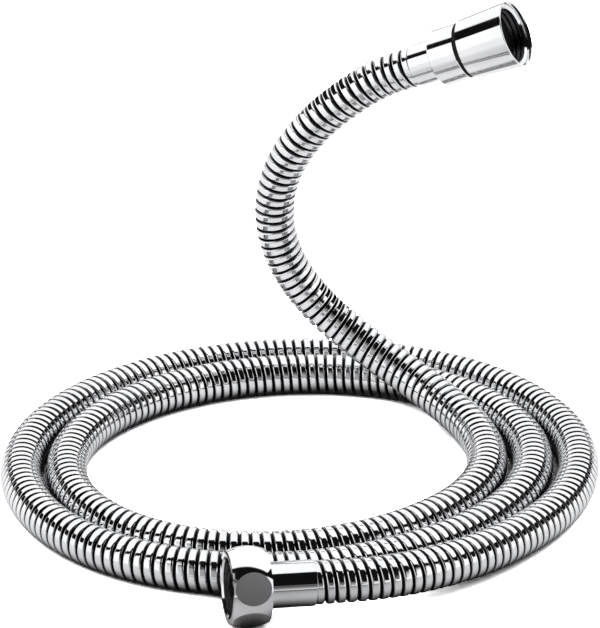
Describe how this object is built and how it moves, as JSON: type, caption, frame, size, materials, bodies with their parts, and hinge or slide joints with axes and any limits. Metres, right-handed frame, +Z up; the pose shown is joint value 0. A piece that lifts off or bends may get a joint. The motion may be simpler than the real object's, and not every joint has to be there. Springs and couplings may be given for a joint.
{
  "type": "shower hose",
  "caption": "Chromed strip-wound metal shower hose laid in a coil, with a captive hex nut at one end and a swivelling cone nut at the standing end.",
  "frame": {"origin": "on the floor, under the middle of the coiled hose with its fittings", "axes": "+Z up, the coil lies in XY; -Y is the side of the hex nut, which the picture shows in front"},
  "size_m": [0.2037, 0.2179, 0.1626],
  "materials": {
    "casing": "polished strip-wound metal",
    "chrome": "bright chrome plate",
    "brass": "turned brass",
    "tube_rubber": "smooth",
    "black_rubber": "matt",
    "acetal": "matt",
    "steel": "brushed"
  },
  "bodies": {
    "hose": {"hose_coil": "casing", "hose_riser": "casing", "inlet_sleeve": "chrome", "outlet_sleeve": "chrome", "swivel_collar": "chrome", "inlet_tail": "brass", "outlet_tail": "brass", "inner_tube": "tube_rubber", "inlet_washer": "black_rubber", "swivel_seal": "black_rubber", "gap_ring": "black_rubber", "inlet_ferrule": "steel", "outlet_ferrule": "steel", "retaining_clip": "steel"},
    "slip_ring": {"inlet_slip_ring": "acetal"},
    "nut": {"hex_nut": "chrome"},
    "cone": {"cone_nut": "chrome", "thread_insert": "chrome", "outlet_washer": "black_rubber", "swivel_bush": "acetal"}
  },
  "joints": [
    {"name": "nut_slide", "type": "slide", "parent": "hose", "child": "slip_ring", "axis": [-0.9775, -0.207, 0.0406], "range_m": [0, 0.0012]},
    {"name": "nut_turn", "type": "hinge", "parent": "slip_ring", "child": "nut", "pos_m": [-0.01107, -0.09471, 0.01278], "axis": [-0.9775, -0.207, 0.0406], "continuous": true},
    {"name": "cone_turn", "type": "hinge", "parent": "hose", "child": "cone", "pos_m": [0.05693, 0.04243, 0.1449], "axis": [0.847, -0.3422, 0.4067], "continuous": true}
  ]
}
